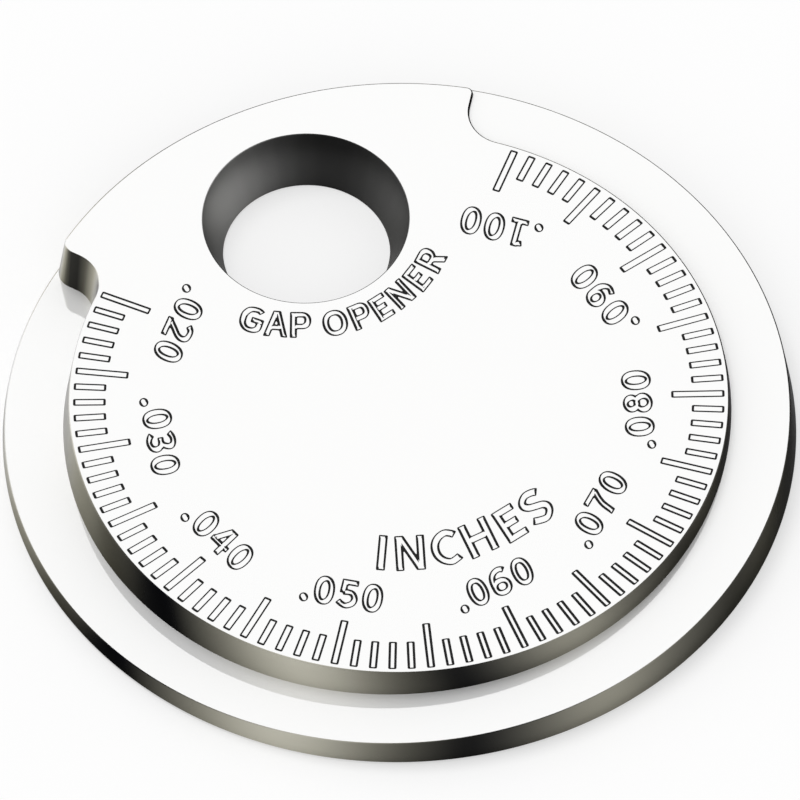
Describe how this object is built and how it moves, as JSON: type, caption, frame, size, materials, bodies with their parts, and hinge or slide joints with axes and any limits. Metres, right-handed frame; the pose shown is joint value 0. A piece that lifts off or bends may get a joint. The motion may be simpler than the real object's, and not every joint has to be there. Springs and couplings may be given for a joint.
{
  "type": "spark plug gap gauge",
  "caption": "Round one-piece gap gauge: a rim that thickens evenly round a numbered scale, a raised face disc, a full-thickness tab and a tapered hole for bending an electrode.",
  "frame": {"origin": "centre of the flat round back", "axes": "+Z out of the marked face; -Y towards the reader when the middle of the scale is nearest; the scale climbs counter-clockwise seen from +Z"},
  "size_m": [0.0364, 0.0364, 0.0028],
  "materials": {
    "bright_plating": "polished plating on struck metal"
  },
  "bodies": {
    "root": {"gauge_disc": "bright_plating"}
  },
  "joints": []
}
